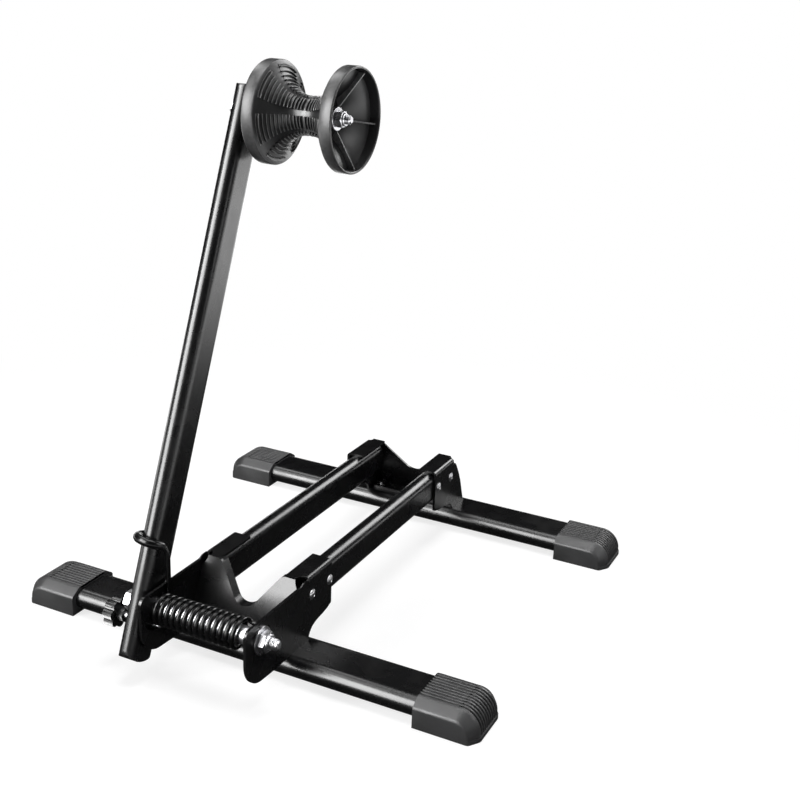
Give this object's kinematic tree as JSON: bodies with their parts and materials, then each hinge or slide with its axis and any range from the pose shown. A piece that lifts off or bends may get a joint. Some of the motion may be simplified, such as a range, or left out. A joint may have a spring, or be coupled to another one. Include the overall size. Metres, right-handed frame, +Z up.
{
  "type": "floor bike rack",
  "caption": "Push-in floor bike rack: cross beams on moulded feet, a pair of rails, and a sprung leaning arm whose flanged roller bears on the tyre",
  "frame": {"origin": "on the floor under the middle of the rack's bounding box", "axes": "X along the cross beams, Y from the arm's side to the rear, Z up"},
  "size_m": [0.48, 0.4776, 0.5217],
  "materials": {
    "black_paint": "black powder coat",
    "zinc": "bright zinc plate",
    "spring_black": "black coated spring wire",
    "foot_plastic": "charcoal, fine grain",
    "plug_plastic": "black",
    "roller_plastic": "charcoal satin",
    "knob_plastic": "black satin"
  },
  "bodies": {
    "base": {"front_beam": "black_paint", "rear_beam": "black_paint", "left_rail": "black_paint", "right_rail": "black_paint", "front_bracket": "black_paint", "rear_bracket": "black_paint", "foot_front_left": "foot_plastic", "foot_front_right": "foot_plastic", "foot_rear_left": "foot_plastic", "foot_rear_right": "foot_plastic", "front_rivets": "zinc", "rear_rivets": "zinc", "front_screws": "zinc", "rear_screws": "zinc", "pivot_bolt": "zinc", "pivot_head_washer": "zinc", "pivot_spacer": "plug_plastic", "pivot_bushing": "zinc", "pivot_nut_washer": "zinc", "pivot_nut": "zinc"},
    "arm": {"arm_tube": "black_paint", "arm_sleeve": "zinc", "arm_bottom_plug": "plug_plastic", "arm_top_plug": "plug_plastic", "torsion_spring": "spring_black", "lock_insert": "zinc", "axle_bolt": "zinc", "axle_spacer": "zinc", "axle_washer": "zinc", "axle_nut": "zinc"},
    "roller": {"roller_inner_half": "roller_plastic", "roller_outer_half": "roller_plastic", "roller_bush": "zinc"},
    "lock_screw": {"lock_stud": "zinc"},
    "lock_grip": {"lock_knob": "knob_plastic"}
  },
  "joints": [
    {"name": "arm_swing", "type": "hinge", "parent": "base", "child": "arm", "pos_m": [0, -0.20625, 0.065], "axis": [1, 0, 0], "range_deg": [-63.5, 20], "stiffness_Nm_per_rad": 3.7, "springref_deg": 12.97, "deforming": ["torsion_spring"]},
    {"name": "roller_spin", "type": "hinge", "parent": "arm", "child": "roller", "pos_m": [0, -0.03992, 0.47667], "axis": [1, 0, 0], "continuous": true},
    {"name": "lock_travel", "type": "slide", "parent": "arm", "child": "lock_screw", "axis": [-1, 0, 0], "range_m": [0, 0.002]},
    {"name": "lock_turn", "type": "hinge", "parent": "lock_screw", "child": "lock_grip", "pos_m": [-0.09, -0.20625, 0.047], "axis": [-1, 0, 0], "range_deg": [0, 720]}
  ],
  "couplings": [
    {"joint": "lock_turn", "follows": "lock_travel", "rad_per_m": 6283.2}
  ]
}
